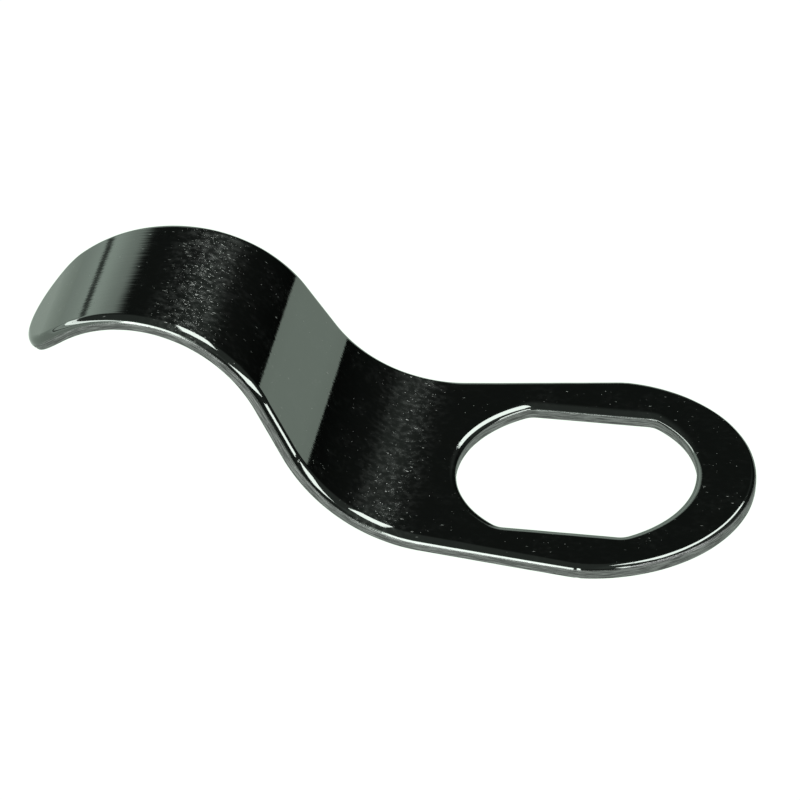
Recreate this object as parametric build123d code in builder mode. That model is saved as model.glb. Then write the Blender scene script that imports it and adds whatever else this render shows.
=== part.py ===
from build123d import *
import os
from math import cos, radians, sin, tan

# Finger pull for a cam lock: one steel blank, pierced, bent into an S and plated.
#
# The origin is the centre of the hole on the pad's underside. +Z points up through the pad and +X to
# the pad's round end, so the tongue runs towards -X. Sizes are in millimetres and degrees.

# The sheet and its edges
sheet = 1.2  # thickness, plating included
face_edge_radius = 0.7  # outer edge on the side that the punch came from, rolled over
hole_edge_radius = 0.4  # the same around the hole
back_edge_radius = 0.12  # edges on the other side, tumbled smooth

# The hole, for a 19 mm lock barrel with two flats 16 mm apart
barrel_diameter = 19.0
barrel_flats = 16.0
barrel_clearance = 0.1  # all round
flats_clearance = 0.2  # on each flat

# The blank's outline
side_land = 4.5  # metal left beside each flat of the hole
end_land = 4.8  # and between the hole and the pad's end
side_angle = 8.0  # each side closes in towards the tip by this
pad_corner = 10.8  # angle left where the pad's round end meets each side
tip_corner = 6.0  # and where the tip's does
corner_radius = 3.0  # which softens those corners

# The S bend, from the side. The heel turns up and the crest turns down again
heel_land = 1.15  # flat metal between the hole and the heel
heel_radius = 11.7  # inside the bend
rise_angle = 60.5
rise_length = 4.5
crest_radius = 10.7  # inside the bend
droop_angle = 47.3  # how far below level the tip points
tip_length = 3.15  # straight, after the crest

hole_diameter = barrel_diameter + 2 * barrel_clearance
hole_flats = barrel_flats + 2 * flats_clearance
heel_start = hole_diameter / 2 + heel_land  # from the centre of the hole
pad_end = hole_diameter / 2 + end_land
half_width_at_hole = hole_flats / 2 + side_land
side_slope = tan(radians(side_angle))
side_sine = sin(radians(side_angle))
side_cosine = cos(radians(side_angle))
spare = 2.0  # stock past both ends of the blank, which its outline trims off
stock_depth = 3 * sheet  # of the solids that trim the sheet, so that they pass right through it
run_stations = 7

# The middle of the sheet, from the pad to the tip
with BuildLine(Plane.XZ) as middle:
    pad = Line((pad_end + spare, sheet / 2), (-heel_start, sheet / 2))
    heel = JernArc(pad @ 1, pad % 1, heel_radius + sheet / 2, -rise_angle)
    rise = Line(heel @ 1, (heel @ 1) + (heel % 1) * rise_length)
    crest = JernArc(rise @ 1, rise % 1, crest_radius + sheet / 2, rise_angle + droop_angle)
    tip = Line(crest @ 1, (crest @ 1) + (crest % 1) * (tip_length + spare))

# Its two sides: the face that a finger sees, and the back
with BuildLine(Plane.XZ) as face_side:
    offset(middle.line, amount=sheet / 2, side=Side.RIGHT, closed=False)
with BuildLine(Plane.XZ) as back_side:
    offset(middle.line, amount=sheet / 2, side=Side.LEFT, closed=False)

# Distances along the sheet are taken from the centre of the hole towards the tip
tip_reach = heel_start + heel.length + rise.length + crest.length + tip_length


def half_width(reach):
    return half_width_at_hole - side_slope * reach


# Each end is a round that reaches just that far and crosses the two sides at its corner angle
pad_end_radius = half_width(-pad_end) * side_cosine / (cos(radians(pad_corner)) + side_sine)
tip_radius = half_width(tip_reach) * side_cosine / (cos(radians(tip_corner)) - side_sine)
tip_direction = tip % 0
tip_end = tip @ 0 + tip_direction * tip_length

# Each round end has a plane at its centre, with X pointing out of the blank, and a distance from there
# to where the round is nearest the sides
pad_round = Plane(origin=(pad_end - pad_end_radius, 0, sheet / 2))
tip_round = Plane(
    origin=tip_end - tip_direction * tip_radius,
    x_dir=tip_direction,
    z_dir=Vector(0, 1, 0).cross(tip_direction),
)
round_ends = [
    (pad_round, pad_end_radius, -pad_end_radius * side_sine),
    (tip_round, tip_radius, tip_radius * side_sine),
]

# What lies between the tapered sides, following the bends
with BuildPart() as between_sides:
    reach = -(pad_end + spare)
    for run in (pad, heel, rise, crest, tip):
        for station in range(run_stations):
            share = station / (run_stations - 1)
            if station > 0 or run is pad:
                with BuildSketch(Plane(origin=run @ share, x_dir=(0, 1, 0), z_dir=run % share)):
                    Rectangle(2 * half_width(reach + share * run.length), stock_depth)
        reach += run.length
    loft()


def lies_along(layer):
    # True for an edge whose middle lies on that layer of the sheet, seen from the side
    def test(edge):
        point = edge @ 0.5
        return layer.line.distance_to(Vector(point.X, 0, point.Z)) < sheet / 4

    return test


with BuildPart() as finger_pull:
    # The bent sheet, as a strip that is wider than the pull
    with BuildSketch(Plane.XZ):
        with BuildLine():
            offset(Plane.XZ.to_local_coords(middle.line), amount=sheet / 2, side=Side.BOTH)
        make_face()
    extrude(amount=half_width(-pad_end) + spare, both=True)

    # Its outline
    add(between_sides.part, mode=Mode.INTERSECT)
    for end_plane, radius, nearest in round_ends:
        with BuildSketch(end_plane):
            with Locations((nearest, 0)):
                Rectangle(2 * radius, 3 * radius, align=(Align.MIN, Align.CENTER))
            Circle(radius, mode=Mode.SUBTRACT)
        extrude(amount=stock_depth, both=True, mode=Mode.SUBTRACT)
        fillet(finger_pull.edges(Select.LAST).filter_by(lies_along(middle)), corner_radius)
    for layer, radius in ((face_side, face_edge_radius), (back_side, back_edge_radius)):
        outline = finger_pull.edges().filter_by(Axis.Y, reverse=True)
        fillet(outline.filter_by(lies_along(layer)), radius)

    # The hole, round with two flats
    with BuildSketch():
        Circle(hole_diameter / 2)
        Rectangle(hole_diameter, hole_flats, mode=Mode.INTERSECT)
    extrude(amount=sheet, mode=Mode.SUBTRACT)
    hole_edges = finger_pull.edges(Select.LAST)
    fillet(hole_edges.group_by(Axis.Z)[-1], hole_edge_radius)
    fillet(hole_edges.group_by(Axis.Z)[0], back_edge_radius)

finger_pull.part.label = "finger_pull"
os.makedirs("parts", exist_ok=True)
export_step(finger_pull.part, "parts/finger_pull.step")
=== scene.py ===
import math

import bmesh
import bpy
from mathutils import Matrix, Vector, noise


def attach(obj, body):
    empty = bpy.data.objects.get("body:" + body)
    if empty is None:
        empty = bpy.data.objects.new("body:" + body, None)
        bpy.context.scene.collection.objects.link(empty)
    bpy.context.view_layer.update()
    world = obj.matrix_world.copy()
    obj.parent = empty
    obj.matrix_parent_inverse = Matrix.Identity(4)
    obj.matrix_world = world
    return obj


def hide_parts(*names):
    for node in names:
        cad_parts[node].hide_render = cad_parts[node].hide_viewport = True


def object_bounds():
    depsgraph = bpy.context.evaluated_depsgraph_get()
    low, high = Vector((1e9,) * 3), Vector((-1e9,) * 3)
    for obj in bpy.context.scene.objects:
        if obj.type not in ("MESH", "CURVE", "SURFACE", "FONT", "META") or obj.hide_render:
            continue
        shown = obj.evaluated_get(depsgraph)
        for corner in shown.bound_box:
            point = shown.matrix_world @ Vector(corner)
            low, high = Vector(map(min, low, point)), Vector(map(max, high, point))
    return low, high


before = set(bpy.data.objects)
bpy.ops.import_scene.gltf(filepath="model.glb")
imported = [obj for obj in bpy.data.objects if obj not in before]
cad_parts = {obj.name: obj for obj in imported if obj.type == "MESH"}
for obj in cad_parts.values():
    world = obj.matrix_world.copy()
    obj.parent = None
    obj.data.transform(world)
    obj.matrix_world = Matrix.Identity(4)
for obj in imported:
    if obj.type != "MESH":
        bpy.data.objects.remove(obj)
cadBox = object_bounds()
mm = 0.001

# The blank before bending, in millimetres and degrees. Distances along it start at the hole's
# centre and run towards the tip
blank = dict(
    sheet=1.2,
    holeAcross=19.2,
    holeFlats=16.4,
    holeCorner=1.5,  # softened by the plating, so the corners aren't sharp
    sideLand=4.5,
    sideAngle=8.0,
    padCorner=10.8,
    tipCorner=6.0,
    cornerRadius=3.0,
)

# Its bends, with radii to the middle of the sheet
bends = dict(
    heelStart=10.75,
    heelRadius=12.3,
    riseAngle=60.5,
    riseLength=4.5,
    crestRadius=11.3,
    droopAngle=47.3,
    tipLength=3.15,
)

# Its edges: rolled over on the face, cut, and tumbled on the back
edges = dict(
    rimRoll=0.7,
    padRoll=0.48,  # it eases to this round the pad's end
    rollEases=(-4, 8),  # between these places along
    holeRoll=0.42,
    holeReach=0.85,  # the roll round the hole is wider than it is deep
    backRoll=0.12,
    cutStarts=0.62,  # as a share of the rim roll's depth
    padCutStarts=0.28,  # the same round the pad's end, which is cut less cleanly
    cutEases=(-5.5, -7),
    holeCutStarts=0.75,
    cutBlend=0.2,
    backBand=0.05,  # what lies this near the back is its tumbled edge
    backCut=0.4,  # and is this coarse, beside the cut's 1
    nickDepth=0.06,  # a step where the cuts of the side and the round end meet
    nickWidth=0.22,
    farNick=0.4,  # of the near one's depth
    breakDepth=0.03,  # how far the torn part of the cut stands back
    breakShare=0.45,  # of the wall, from the face
    breakSlope=0.03,  # half the height over which it steps back
    breakLean=-0.1,  # how far the step's normal points down
    waver=0.012,  # how far the edges wander
    waverLength=1.7,
    rimSeed=3.0,
    holeSeed=11.0,
)

# Steps are in millimetres along the tongue and in degrees round the ends and corners
meshDetail = dict(
    rowStep=0.25,
    columns=20,  # across half the tongue
    padRings=12,
    roundStep=2.5,
    tipCornerStep=1.5,
    padCornerStep=1.5,
    holeCornerStep=6,
    closest=0.6,  # of a plain stop to a corner's own, in degrees from the hole
    rollSteps=12,
    backSteps=4,
)

padEnd = cadBox[1].x / mm
half = blank["sheet"] / 2
slant = math.radians(blank["sideAngle"])
widthAtHole = blank["holeFlats"] / 2 + blank["sideLand"]

# The sheet's middle line as runs: length, radius if bent, and which way it turns
runs = [
    (bends["heelStart"], 0, 0),
    (bends["heelRadius"] * math.radians(bends["riseAngle"]), bends["heelRadius"], 1),
    (bends["riseLength"], 0, 0),
    (
        bends["crestRadius"] * math.radians(bends["riseAngle"] + bends["droopAngle"]),
        bends["crestRadius"],
        -1,
    ),
    (bends["tipLength"], 0, 0),
]
tipReach = sum(length for length, radius, turn in runs)


def halfWidth(along):
    return widthAtHole - math.tan(slant) * along


def bendAt(along):
    # Where the middle line is at that distance, and how steeply it climbs there
    x, z, tilt = 0.0, half, 0.0
    for index, (length, radius, turn) in enumerate(runs):
        part = along if index == len(runs) - 1 else min(along, length)
        if radius:
            bent = tilt + turn * part / radius
            x -= turn * radius * (math.sin(bent) - math.sin(tilt))
            z -= turn * radius * (math.cos(bent) - math.cos(tilt))
            tilt = bent
        else:
            x -= part * math.cos(tilt)
            z += part * math.sin(tilt)
        along -= part
        if along <= 0:
            return x, z, tilt
    return x, z, tilt


# An outline is a row of rounds: centre along and across, radius, and the angles its normal turns
# between. Straight runs join them, and the other side mirrors this one
def cornerRound(centre, radius, side, meets):
    inner = blank["cornerRadius"]
    slope = math.tan(slant)
    base = widthAtHole - inner / math.cos(slant)
    square = 1 + slope * slope
    linear = centre + base * slope
    rest = centre**2 + base**2 - (radius - inner) ** 2
    along = (linear + side * math.sqrt(linear**2 - square * rest)) / square
    across = base - slope * along
    angle = math.degrees(math.atan2(across, along - centre))
    turns = (angle, meets) if side > 0 else (meets, angle)
    return (along, across, inner, *turns), angle


def roundRadius(along, corner, side):
    cosine = math.cos(math.radians(corner)) - side * math.sin(slant)
    return halfWidth(along) * math.cos(slant) / cosine


sideMeets = 90 - blank["sideAngle"]
tipRadius = roundRadius(tipReach, blank["tipCorner"], 1)
padRadius = roundRadius(-padEnd, blank["padCorner"], -1)
tipCentre = tipReach - tipRadius
padCentre = padRadius - padEnd
tipCorner, tipMeets = cornerRound(tipCentre, tipRadius, 1, sideMeets)
padCorner, padMeets = cornerRound(padCentre, padRadius, -1, sideMeets)
rimRounds = [
    (tipCentre, 0, tipRadius, 0, tipMeets),
    tipCorner,
    padCorner,
    (padCentre, 0, padRadius, padMeets, 180),
]

holeRadius = blank["holeAcross"] / 2
cornerAcross = blank["holeFlats"] / 2 - blank["holeCorner"]
cornerAlong = math.sqrt((holeRadius - blank["holeCorner"]) ** 2 - cornerAcross**2)
holeMeets = math.degrees(math.atan2(cornerAcross, cornerAlong))
holeRounds = [
    (0, 0, holeRadius, 0, holeMeets),
    (cornerAlong, cornerAcross, blank["holeCorner"], holeMeets, 90),
    (-cornerAlong, cornerAcross, blank["holeCorner"], 90, 180 - holeMeets),
    (0, 0, holeRadius, 180 - holeMeets, 180),
]


def onRound(oneRound, angle):
    along, across, radius = oneRound[:3]
    normal = (math.cos(math.radians(angle)), math.sin(math.radians(angle)))
    return along + radius * normal[0], across + radius * normal[1], normal


def polar(along, across):
    return math.degrees(math.atan2(across, along))


def seenFromHole(rounds, angle):
    # The outline's point in that direction from the hole's centre, 0 being towards the tip
    toward = (math.cos(math.radians(angle)), math.sin(math.radians(angle)))
    for oneRound in rounds:
        along, across, radius, first, last = oneRound
        startAlong, startAcross, startNormal = onRound(oneRound, first)
        end = onRound(oneRound, last)
        if angle < polar(startAlong, startAcross):
            out = startAlong * startNormal[0] + startAcross * startNormal[1]
            reach = out / (toward[0] * startNormal[0] + toward[1] * startNormal[1])
            return reach * toward[0], reach * toward[1], startNormal
        if angle <= polar(*end[:2]) or oneRound is rounds[-1]:
            middle = along * toward[0] + across * toward[1]
            reach = middle + math.sqrt(middle**2 - along**2 - across**2 + radius**2)
            point = (reach * toward[0], reach * toward[1])
            return *point, ((point[0] - along) / radius, (point[1] - across) / radius)


def spread(first, last, step):
    count = max(1, math.ceil(abs(last - first) / step))
    return [first + (last - first) * index / count for index in range(count + 1)]


def mirrored(stops):
    return [(along, -across, (normal[0], -normal[1])) for along, across, normal in stops]


# Stops along the rim, from the apex of the tip to where the pad starts, and the directions
# from the hole that the pad is divided by
tongueStops = [onRound(rimRounds[0], a) for a in spread(0, tipMeets, meshDetail["roundStep"])]
for angle in spread(tipMeets, sideMeets, meshDetail["tipCornerStep"])[1:]:
    tongueStops.append(onRound(tipCorner, angle))
for along in spread(tongueStops[-1][0], bends["heelStart"], meshDetail["rowStep"])[1:]:
    tongueStops.append((along, halfWidth(along), tongueStops[-1][2]))

padStarts = polar(*tongueStops[-1][:2])
acrossSteps = [math.tan(math.radians(padStarts)) * s / meshDetail["columns"]
               for s in range(meshDetail["columns"])]
frontAngles = [math.degrees(math.atan(step)) for step in acrossSteps]
cornerRounds = [(holeRounds[1], "holeCornerStep"), (holeRounds[2], "holeCornerStep"),
                (padCorner, "padCornerStep")]
cornerSpots = [polar(*onRound(oneRound, a)[:2]) for oneRound, step in cornerRounds
               for a in spread(oneRound[3], oneRound[4], meshDetail[step])]
plainSpots = [a for a in spread(padStarts, 180, meshDetail["roundStep"])
              if all(abs(a - spot) > meshDetail["closest"] for spot in cornerSpots)]
padAngles = sorted(plainSpots + cornerSpots)
padStops = [seenFromHole(rimRounds, a) for a in padAngles]
padStops[0] = tongueStops[-1]
holeStops = [seenFromHole(holeRounds, a) for a in frontAngles + padAngles]


def closeLoop(stops, flip=1):
    # Stops of one side, from the middle line round to the middle line, and back on the other.
    # Each normal points out of the metal
    other = mirrored(stops[1:-1])[::-1]
    return [(along, across, flip * normal[0], flip * normal[1])
            for along, across, normal in stops + other]


rimLoop = closeLoop(tongueStops + padStops[1:])
holeLoop = closeLoop(holeStops, flip=-1)

points, facing, places, cuts, faces = [], [], [], [], []


def addPoint(along, across, height, normal, cut=0.0):
    # A place on the blank, carried onto the bent sheet
    x, z, tilt = bendAt(along)
    forward = Vector((-math.cos(tilt), 0, math.sin(tilt)))
    up = Vector((math.sin(tilt), 0, math.cos(tilt)))
    sideways = Vector((0, 1, 0))
    points.append((Vector((x, across, z)) + up * height) * mm)
    facing.append((forward * normal[0] + sideways * normal[1] + up * normal[2]).normalized())
    places.append((along, across, height))
    cuts.append(cut)
    return len(points) - 1


def addFace(*corners):
    kept = [corner for index, corner in enumerate(corners) if corner != corners[index - 1]]
    if len(kept) > 2:
        faces.append(kept)


def edgeProfile(roll, reach):
    # Across an edge from the face to the back: inset, height, and how far the normal points
    # out and up. The roll goes that far down and reaches that far in
    top, bottom = half - roll, edges["backRoll"] - half
    breakAt = top + (bottom - top) * edges["breakShare"]
    setBack = edges["breakDepth"]
    profile = []
    for index in range(meshDetail["rollSteps"] + 1):
        turn = math.pi / 2 * index / meshDetail["rollSteps"]
        out, up = math.sin(turn) / reach, math.cos(turn) / roll
        length = math.hypot(out, up)
        profile.append((reach * (1 - math.sin(turn)), top + roll * math.cos(turn),
                        out / length, up / length))
    profile.append((0, (top + breakAt) / 2, 1, 0))
    profile.append((0, breakAt + edges["breakSlope"], 1, edges["breakLean"]))
    profile.append((setBack, breakAt - edges["breakSlope"], 1, edges["breakLean"]))
    profile.append((setBack, (bottom + breakAt) / 2, 1, 0))
    for index in range(meshDetail["backSteps"] + 1):
        turn = math.pi / 2 * index / meshDetail["backSteps"]
        back = edges["backRoll"]
        profile.append((setBack + back * (1 - math.cos(turn)), bottom - back * math.sin(turn),
                        math.cos(turn), -math.sin(turn)))
    return profile


def nickAt(along, across):
    # How far the outline is cut in beside the pad's corner
    place = onRound(padCorner, (padCorner[3] + padCorner[4]) / 2)
    away = math.dist((along, abs(across)), place[:2]) / edges["nickWidth"]
    return edges["nickDepth"] * math.exp(-away * away) * (1 if across < 0 else edges["farNick"])


def addEdge(loop, rollAt, cutStartsAt, seed):
    # The whole edge along a loop: a ring of points across the edge at each stop
    wander = [noise.noise(Vector((*stop[:2], seed)) / edges["waverLength"]) * edges["waver"]
              + nickAt(*stop[:2]) for stop in loop]
    rings = []
    for index, (along, across, normalAlong, normalAcross) in enumerate(loop):
        after = loop[(index + 1) % len(loop)]
        before = loop[index - 1]
        run = math.dist(after[:2], before[:2])
        turn = (wander[(index + 1) % len(loop)] - wander[index - 1]) / run
        onward = ((after[0] - before[0]) / run, (after[1] - before[1]) / run)
        outAlong = normalAlong + turn * onward[0]
        outAcross = normalAcross + turn * onward[1]
        ring = []
        roll, reach = rollAt(along)
        for inset, height, out, up in edgeProfile(roll, reach):
            shift = inset + wander[index] + edges["waver"]
            depth = ((half - height) / roll - cutStartsAt(along)) / edges["cutBlend"]
            depth = min(1, max(0, depth))
            if height <= edges["backBand"] - half:
                depth = edges["backCut"]
            ring.append(addPoint(along - normalAlong * shift, across - normalAcross * shift,
                                 height, (outAlong * out, outAcross * out, up), depth))
        rings.append(ring)
    for index, ring in enumerate(rings):
        other = rings[index - 1]
        for low, high in zip(range(len(ring) - 1), range(1, len(ring))):
            addFace(other[low], ring[low], ring[high], other[high])
    return rings


def between(first, last, share, height, up):
    along, across = [places[first][i] + (places[last][i] - places[first][i]) * share
                     for i in (0, 1)]
    return addPoint(along, across, height, (0, 0, up))


def addSkin(rim, hole, height, up):
    # One side of the sheet, up to its rim and hole points
    columns = meshDetail["columns"] * 2
    tongueCount = len(tongueStops)
    rows = []
    for index in range(1, tongueCount):
        right, left = rim[index], rim[-index]
        inner = [between(right, left, s / columns, height, up) for s in range(1, columns)]
        rows.append([right, *inner, left])
    apex = rim[0]
    for first, second in zip(rows[0], rows[0][1:]):
        addFace(apex, first, second)
    for row, after in zip(rows, rows[1:]):
        for column in range(columns):
            addFace(row[column], row[column + 1], after[column + 1], after[column])
    # Round the hole, the outer points start at the middle of the last row and end there
    front = rows[-1]
    middle = columns // 2
    outer = front[middle:0:-1] + rim[tongueCount - 1:len(rim) - tongueCount + 2]
    outer += front[columns - 1:middle:-1]
    rings = [hole]
    for ring in range(1, meshDetail["padRings"]):
        share = ring / meshDetail["padRings"]
        share = share * share * (3 - 2 * share)
        rings.append([between(a, b, share, height, up) for a, b in zip(hole, outer)])
    rings.append(outer)
    for ring, after in zip(rings, rings[1:]):
        for index in range(len(ring)):
            addFace(ring[index - 1], ring[index], after[index], after[index - 1])


def eased(along, first, last, start, end):
    share = min(1, max(0, (along - first) / (last - first)))
    return start + (end - start) * share


def rimRollAt(along):
    roll = eased(along, *edges["rollEases"], edges["padRoll"], edges["rimRoll"])
    return roll, roll


def rimCutAt(along):
    return eased(along, *edges["cutEases"], edges["cutStarts"], edges["padCutStarts"])


def holeRollAt(along):
    return edges["holeRoll"], edges["holeReach"]


def holeCutAt(along):
    return edges["holeCutStarts"]


def makePull():
    rim = addEdge(rimLoop, rimRollAt, rimCutAt, edges["rimSeed"])
    hole = addEdge(holeLoop, holeRollAt, holeCutAt, edges["holeSeed"])
    addSkin([ring[0] for ring in rim], [ring[0] for ring in hole], half, 1)
    addSkin([ring[-1] for ring in rim], [ring[-1] for ring in hole], -half, -1)
    mesh = bpy.data.meshes.new("pull")
    mesh.from_pydata(points, [], faces)
    work = bmesh.new()
    work.from_mesh(mesh)
    bmesh.ops.recalc_face_normals(work, faces=work.faces)
    loose = [edge for edge in work.edges if len(edge.link_faces) != 2]
    print("pull mesh:", len(work.verts), "points,", len(work.faces), "faces, open edges", len(loose))
    work.to_mesh(mesh)
    work.free()
    for polygon in mesh.polygons:
        polygon.use_smooth = True
    mesh.normals_split_custom_set_from_vertices(facing)
    flat = mesh.attributes.new("flatPlace", "FLOAT_VECTOR", "POINT")
    flat.data.foreach_set("vector", [part for place in places for part in place])
    mesh.attributes.new("cut", "FLOAT", "POINT").data.foreach_set("value", cuts)
    pull = bpy.data.objects.new("pull", mesh)
    bpy.context.scene.collection.objects.link(pull)
    return pull


pull = makePull()
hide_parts("finger_pull")
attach(pull, "root")


# The plating: dark and mirror smooth, with faint polishing lines, and greyer and coarser where the
# sheet was cut. A grain is noise of a size and detail, and may be stretched. It shows from the first
# of its two levels and is full at the second
plating = dict(
    tone=(0.104, 0.115, 0.107),
    grazeTone=(0.70, 0.73, 0.71),  # how much is left of the shine at a grazing angle
    roughness=0.035,
    haze=dict(size=0.8, detail=4.0),
    hazeShows=(0.4, 0.75),
    hazeRoughens=0.03,
    lines=dict(size=1.6, detail=3.0, scale=(0.16, 3.2, 1)),  # they run along the tongue
    swells=dict(size=0.9, detail=1.0, scale=(0.5, 0.5, 0.5), move=7),  # it isn't quite flat
    linesBump=0.0030,
)
cutBand = dict(
    tone=(0.15, 0.155, 0.152),
    streaks=dict(size=1.3, detail=5.0, scale=(0.6, 0.6, 14)),
    streaksShow=(0.35, 0.68),
    streakDark=0.45,
    streakPale=1.5,
    roughness=0.42,
    pits=dict(size=9.0, detail=3.0),
    pitsShow=(0.3, 0.7),
    pitsRoughen=(0.75, 1.35),  # from this share of the roughness to that
    pitBump=0.02,
)

# Dust and painted sheen: where the pale specks gather, as places along the sheet, then its specks
# and short strokes.
# A few lie everywhere as dust; heaped on the crest and the heel they are painted sheen where light
# catches the bends
# A cell holds one speck, whose reach is a share of the cell, and only a share of cells have one
dustAndSheen = dict(
    tone=(0.20, 0.21, 0.195),
    everywhere=0.02,
    # crest and heel: painted sheen, many more specks where light catches the bends
    crest=dict(place=36.8, outer=3.6, inner=0.8, much=0.80),
    heel=dict(place=14.6, outer=3.6, inner=0.6, much=0.16),
    clouds=dict(size=0.35, detail=3.0),
    cloudsShow=(0.42, 0.68),
    cloudsMuch=0.10,
    smear=dict(size=2.2, detail=5.0, scale=(0.9, 1, 1)),
    smearShows=(0.40, 0.75),
    smearCovers=(0.02, 0.27),
    # painted sheen: more smear on the heel, where light catches it
    heelSmearAndSheen=0.45,
    speckCore=0.3,  # a speck is full within this share of its reach
    speckFaint=0.3,  # and the faintest has this share of the brightness
    cover=0.85,
    dulls=0.8,
    roughens=0.5,
    bump=0.004,
)
specks = [
    dict(cells=5.6, reach=0.28, share=0.7, bright=0.8),
    dict(cells=2.6, reach=0.16, share=0.5, bright=1.0),
    dict(cells=4.2, reach=0.22, share=0.8, bright=0.8, turn=7, scale=(0.30, 1, 0)),
    dict(cells=3.3, reach=0.17, share=0.7, bright=1.0, turn=-27, scale=(0.28, 1, 0)),
    dict(cells=3.9, reach=0.18, share=0.7, bright=0.9, turn=38, scale=(0.32, 1, 0)),
]


class nodeBench:
    # Adds nodes to one tree and wires their inputs in a line each
    def __init__(self, tree):
        self.nodes, self.links = tree.nodes, tree.links

    def add(self, kind, inputs=(), **settings):
        node = self.nodes.new(kind)
        for name, value in settings.items():
            setattr(node, name, value)
        for key, value in dict(inputs).items():
            if isinstance(value, bpy.types.NodeSocket):
                self.links.new(value, node.inputs[key])
            else:
                node.inputs[key].default_value = value
        return node

    def math(self, operation, first, second=0.0, clamp=False):
        return self.add("ShaderNodeMath", {0: first, 1: second}, operation=operation,
                        use_clamp=clamp).outputs[0]

    def ramp(self, value, low, high, toLow=0.0, toHigh=1.0):
        node = self.add("ShaderNodeMapRange", {0: value, 1: low, 2: high, 3: toLow, 4: toHigh},
                        interpolation_type="SMOOTHSTEP")
        return node.outputs[0]

    def mixColor(self, share, first, second):
        node = self.add("ShaderNodeMix", data_type="RGBA")
        for index, value in ((0, share), (6, first), (7, second)):
            if isinstance(value, bpy.types.NodeSocket):
                self.links.new(value, node.inputs[index])
            elif index:
                node.inputs[index].default_value = (*value, 1)
            else:
                node.inputs[index].default_value = value
        return node.outputs[2]


def newMaterial(name):
    material = bpy.data.materials.new(name)
    material.use_nodes = True
    return material, nodeBench(material.node_tree), material.node_tree.nodes["Principled BSDF"]


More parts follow.
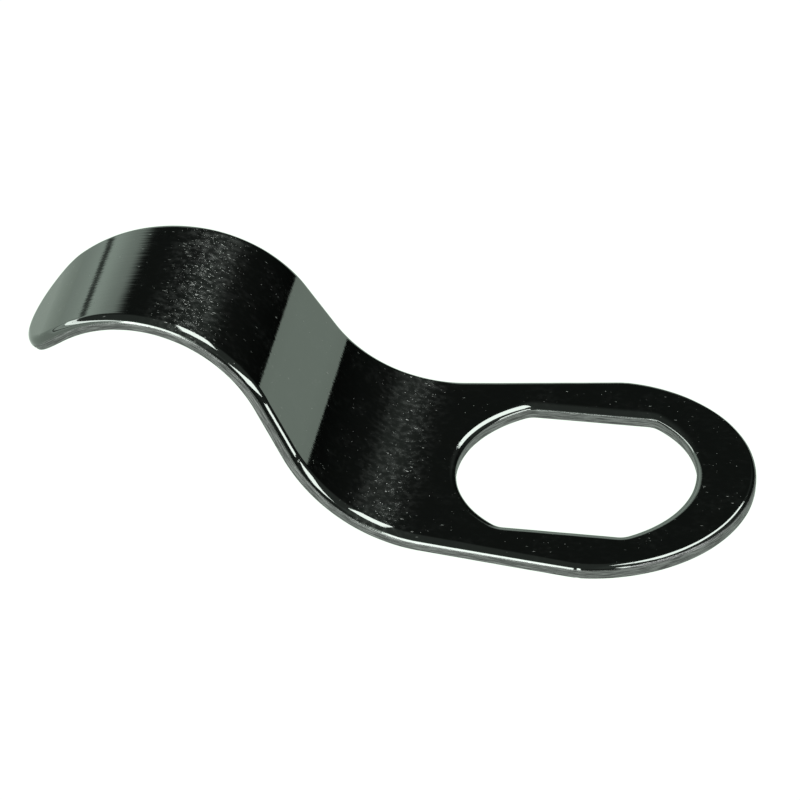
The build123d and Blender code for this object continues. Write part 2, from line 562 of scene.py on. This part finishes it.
def makePlating():
    material, bench, shader = newMaterial("darkPlating")
    place = bench.add("ShaderNodeAttribute", attribute_name="flatPlace").outputs["Vector"]
    cut = bench.add("ShaderNodeAttribute", attribute_name="cut").outputs["Fac"]
    along = bench.add("ShaderNodeSeparateXYZ", {0: place}).outputs[0]

    def stretched(scale, turn=0.0, move=0.0):
        node = bench.add("ShaderNodeMapping", {0: place, 1: (move, move, 0),
                                               2: (0, 0, math.radians(turn)), 3: scale})
        return node.outputs[0]

    def grain(size, detail, scale=(1, 1, 1), move=0.0):
        node = bench.add("ShaderNodeTexNoise", {"Vector": stretched(scale, move=move),
                                                "Scale": size, "Detail": detail})
        return node.outputs["Fac"]

    def near(spot):
        away = bench.math("ABSOLUTE", bench.math("SUBTRACT", along, spot["place"]))
        return bench.ramp(away, spot["outer"], spot["inner"])

    # How often a speck shows: most on the crest and less on the heel, as painted sheen where light
    # catches the bends, and as dust in clouds elsewhere
    heel = near(dustAndSheen["heel"])
    clouds = bench.ramp(grain(**dustAndSheen["clouds"]), *dustAndSheen["cloudsShow"])
    often = bench.math("MULTIPLY", near(dustAndSheen["crest"]), dustAndSheen["crest"]["much"])
    often = bench.math("ADD", often, bench.math("MULTIPLY", clouds, dustAndSheen["cloudsMuch"]))
    often = bench.math("ADD", often, bench.math("MULTIPLY", heel, dustAndSheen["heel"]["much"]))
    often = bench.math("ADD", often, dustAndSheen["everywhere"], clamp=True)

    def makeSpecks(cells, reach, share, bright, turn=0.0, scale=(1, 1, 0)):
        cell = bench.add("ShaderNodeTexVoronoi", {"Vector": stretched(scale, turn, cells),
                                                  "Scale": cells, "Randomness": 1.0},
                         voronoi_dimensions="3D")
        dot = bench.ramp(cell.outputs["Distance"], reach, reach * dustAndSheen["speckCore"])
        luck = bench.add("ShaderNodeSeparateColor", {0: cell.outputs["Color"]}).outputs
        chosen = bench.math("LESS_THAN", luck[0], bench.math("MULTIPLY", often, share))
        faint = bench.ramp(luck[1], 0.0, 1.0, bright * dustAndSheen["speckFaint"], bright)
        return bench.math("MULTIPLY", bench.math("MULTIPLY", dot, chosen), faint)

    # A faint smear lies under the specks, with more on the heel as painted sheen
    smear = bench.ramp(grain(**dustAndSheen["smear"]), *dustAndSheen["smearShows"], *dustAndSheen["smearCovers"])
    where = bench.math("ADD", often, bench.math("MULTIPLY", heel, dustAndSheen["heelSmearAndSheen"]))
    dustAndSheenMask = bench.math("MULTIPLY", smear, where)
    for kind in specks:
        dustAndSheenMask = bench.math("MAXIMUM", dustAndSheenMask, makeSpecks(**kind))
    dustAndSheenMask = bench.math("MULTIPLY", dustAndSheenMask, bench.math("SUBTRACT", 1.0, cut), clamp=True)

    # Colour: streaks run along the cut band
    streaks = grain(**cutBand["streaks"])
    dark = [part * cutBand["streakDark"] for part in cutBand["tone"]]
    pale = [part * cutBand["streakPale"] for part in cutBand["tone"]]
    cutColor = bench.mixColor(bench.ramp(streaks, *cutBand["streaksShow"]), dark, pale)
    color = bench.mixColor(cut, plating["tone"], cutColor)
    # The pale specks, partly dust and partly painted sheen, lighten the base colour and dull the
    # metal
    covered = bench.math("MULTIPLY", dustAndSheenMask, dustAndSheen["cover"])
    bench.links.new(bench.mixColor(covered, color, dustAndSheen["tone"]), shader.inputs["Base Color"])
    metal = bench.math("SUBTRACT", 1.0, bench.math("MULTIPLY", dustAndSheenMask, dustAndSheen["dulls"]))
    bench.links.new(metal, shader.inputs["Metallic"])
    shader.inputs["Specular Tint"].default_value = (*plating["grazeTone"], 1)

    # Roughness: a patchy haze on the face, and pits in the cut band
    pits = grain(**cutBand["pits"])
    haze = bench.ramp(grain(**plating["haze"]), *plating["hazeShows"], 0.0,
                      plating["hazeRoughens"])
    cutRough = bench.ramp(pits, *cutBand["pitsShow"],
                          *[cutBand["roughness"] * share for share in cutBand["pitsRoughen"]])
    rough = bench.math("ADD", plating["roughness"], haze)
    rough = bench.math("ADD", rough, bench.math("MULTIPLY", cut, cutRough))
    dustAndSheenRough = bench.math("MULTIPLY", dustAndSheenMask, dustAndSheen["roughens"])
    rough = bench.math("ADD", rough, dustAndSheenRough, clamp=True)
    bench.links.new(rough, shader.inputs["Roughness"])

    # Relief in millimetres: polishing lines and swells, pits, and the specks of dust and painted
    # sheen
    lines = grain(**plating["lines"])
    swells = grain(**plating["swells"])
    height = bench.math("MULTIPLY", bench.math("ADD", lines, swells), plating["linesBump"])
    pitted = bench.math("MULTIPLY", bench.math("MULTIPLY", pits, cut), cutBand["pitBump"])
    height = bench.math("ADD", height, pitted)
    height = bench.math("ADD", height, bench.math("MULTIPLY", dustAndSheenMask, dustAndSheen["bump"]))
    bump = bench.add("ShaderNodeBump", {"Height": height, "Strength": 1.0, "Distance": mm})
    bench.links.new(bump.outputs[0], shader.inputs["Normal"])
    return material


pull.data.materials.append(makePlating())
print("plating made")

# The studio: a pale table lit from below, soft boxes and dark surroundings
table = dict(size=8.0, gap=0.02, glow=0.97, tint=(1.04, 1.14, 1.05), tone=0.015)


def makeTable():
    # A hair below the pad, so that the two flat faces don't share a plane
    reach, level = table["size"] / 2, -table["gap"] * mm
    corners = [(x, y, level) for x, y in ((-reach, -reach), (reach, -reach), (reach, reach),
                                          (-reach, reach))]
    mesh = bpy.data.meshes.new("table")
    mesh.from_pydata(corners, [], [(0, 1, 2, 3)])
    floor = bpy.data.objects.new("table", mesh)
    bpy.context.scene.collection.objects.link(floor)
    material, bench, shader = newMaterial("litTable")
    shader.inputs["Base Color"].default_value = (*[table["tone"]] * 3, 1)
    shader.inputs["Roughness"].default_value = 1
    shader.inputs["Specular IOR Level"].default_value = 0
    shader.inputs["Emission Color"].default_value = (*table["tint"], 1)
    shader.inputs["Emission Strength"].default_value = table["glow"]
    mesh.materials.append(material)


makeTable()

# Each soft box: its middle in metres, which way it faces, its width and height and its brightness
softBoxes = dict(
    overhead=dict(place=(0.324, 0.45, 0.90), faces=(0, 0, -1), size=(0.43, 1.17), glow=8),
    left=dict(place=(-0.90, -0.55, 0.46), faces=(1, 0, 0), size=(2.30, 0.17), glow=6),
    front=dict(place=(-0.46, -1.11, 0.27), faces=(0.46, 1.11, -0.2), size=(0.46, 0.40), glow=8),
    right=dict(place=(0.76, -0.55, 0.49), faces=(-0.76, 0.55, -0.40), size=(1.05, 0.26), glow=8),
    low=dict(place=(0.94, -0.34, 0.19), faces=(-0.94, 0.34, -0.05), size=(0.50, 0.15), glow=8),
)


def makeSoftBox(name, place, faces, size, glow):
    light = bpy.data.lights.new(name, "AREA")
    light.shape = "RECTANGLE"
    light.size, light.size_y = size
    light.energy = glow * math.pi * size[0] * size[1]
    lamp = bpy.data.objects.new(name, light)
    lamp.location = place
    lamp.rotation_euler = Vector(faces).to_track_quat("-Z", "Y").to_euler()
    lamp.visible_camera = False
    bpy.context.scene.collection.objects.link(lamp)


for name, softBox in softBoxes.items():
    makeSoftBox(name, **softBox)

# The room: dark behind and above, with a pale screen behind the pull on the left. Each pair of
# numbers is where something starts and where it is full, as one part of a direction from the pull:
# to the right, to the back or up
room = dict(
    tint=(0.96, 1.05, 0.98),
    ceiling=0.16,
    back=0.045,
    backWall=(0.35, 0.76),
    lowShare=0.25,  # how much of it is left near the table
    upFrom=(-0.1, 0.65),
)
patch = dict(glow=0.07, left=(0.02, 0.22), right=(0.44, 0.30), up=(0.40, 0.50))  # over the heel
screen = dict(
    glow=1.7,
    top=(0.50, 0.43),
    side=(-0.02, -0.13),
    dimmed=0.62,  # towards its top and towards the table
    topDims=(0.46, 0.26),
    tableDims=(0.30, -0.05),
    railAt=0.215,  # a dark rail crosses it
    railEdge=(0.042, 0.012),
    railDark=0.86,
)


def makeRoom():
    world = bpy.data.worlds.new("room")
    world.use_nodes = True
    bench = nodeBench(world.node_tree)
    toward = bench.add("ShaderNodeTexCoord").outputs["Generated"]
    right, back, up = bench.add("ShaderNodeSeparateXYZ", {0: toward}).outputs

    glow = bench.ramp(back, *room["backWall"], room["ceiling"], room["back"])
    low = bench.ramp(up, *room["upFrom"], room["lowShare"], 1.0)
    glow = bench.math("MULTIPLY", glow, low)

    spot = bench.math("MULTIPLY", bench.ramp(right, *patch["left"]),
                      bench.ramp(right, *patch["right"]))
    spot = bench.math("MULTIPLY", spot, bench.ramp(up, *patch["up"]))
    glow = bench.math("ADD", glow, bench.math("MULTIPLY", spot, patch["glow"]))

    shape = bench.math("MULTIPLY", bench.ramp(up, *screen["top"]),
                       bench.ramp(right, *screen["side"]))
    bright = bench.math("MULTIPLY", bench.ramp(up, *screen["topDims"], screen["dimmed"], 1.0),
                        bench.ramp(up, *screen["tableDims"], 1.0, screen["dimmed"]))
    bright = bench.math("MULTIPLY", bright, screen["glow"])
    fromRail = bench.math("ABSOLUTE", bench.math("SUBTRACT", up, screen["railAt"]))
    rail = bench.math("MULTIPLY", bench.ramp(fromRail, *screen["railEdge"]), screen["railDark"])
    bright = bench.math("MULTIPLY", bright, bench.math("SUBTRACT", 1.0, rail))
    glow = bench.math("MAXIMUM", glow, bench.math("MULTIPLY", shape, bright))
    shader = world.node_tree.nodes["Background"]
    shader.inputs["Color"].default_value = (*room["tint"], 1)
    bench.links.new(glow, shader.inputs["Strength"])
    bpy.context.scene.world = world


makeRoom()
print("studio made")

# The camera, in millimetres and degrees
shot = dict(
    aim=(0.66, 0, -2.01),  # from the middle of the pull's box
    azimuth=10.829,  # to the right of the front
    elevation=34.906,
    roll=-1.432,
    distance=572.45,
    lens=323.02,
    sensor=36,
)


def makeCamera():
    data = bpy.data.cameras.new("camera")
    data.lens = shot["lens"]
    data.sensor_width = shot["sensor"]
    camera = bpy.data.objects.new("camera", data)
    turn, rise = math.radians(shot["azimuth"]), math.radians(shot["elevation"])
    back = Vector((math.sin(turn) * math.cos(rise), -math.cos(turn) * math.cos(rise),
                   math.sin(rise)))
    right = Vector((math.cos(turn), math.sin(turn), 0))
    above = back.cross(right)
    lean = math.radians(shot["roll"])
    across = right * math.cos(lean) + above * math.sin(lean)
    upward = above * math.cos(lean) - right * math.sin(lean)
    aim = (cadBox[0] + cadBox[1]) / 2 + Vector(shot["aim"]) * mm
    camera.matrix_world = Matrix.Translation(aim + back * shot["distance"] * mm) @ Matrix(
        (across, upward, back)).transposed().to_4x4()
    bpy.context.scene.collection.objects.link(camera)
    bpy.context.scene.camera = camera


makeCamera()
print("camera made")
bpy.context.scene.view_settings.view_transform = "Standard"
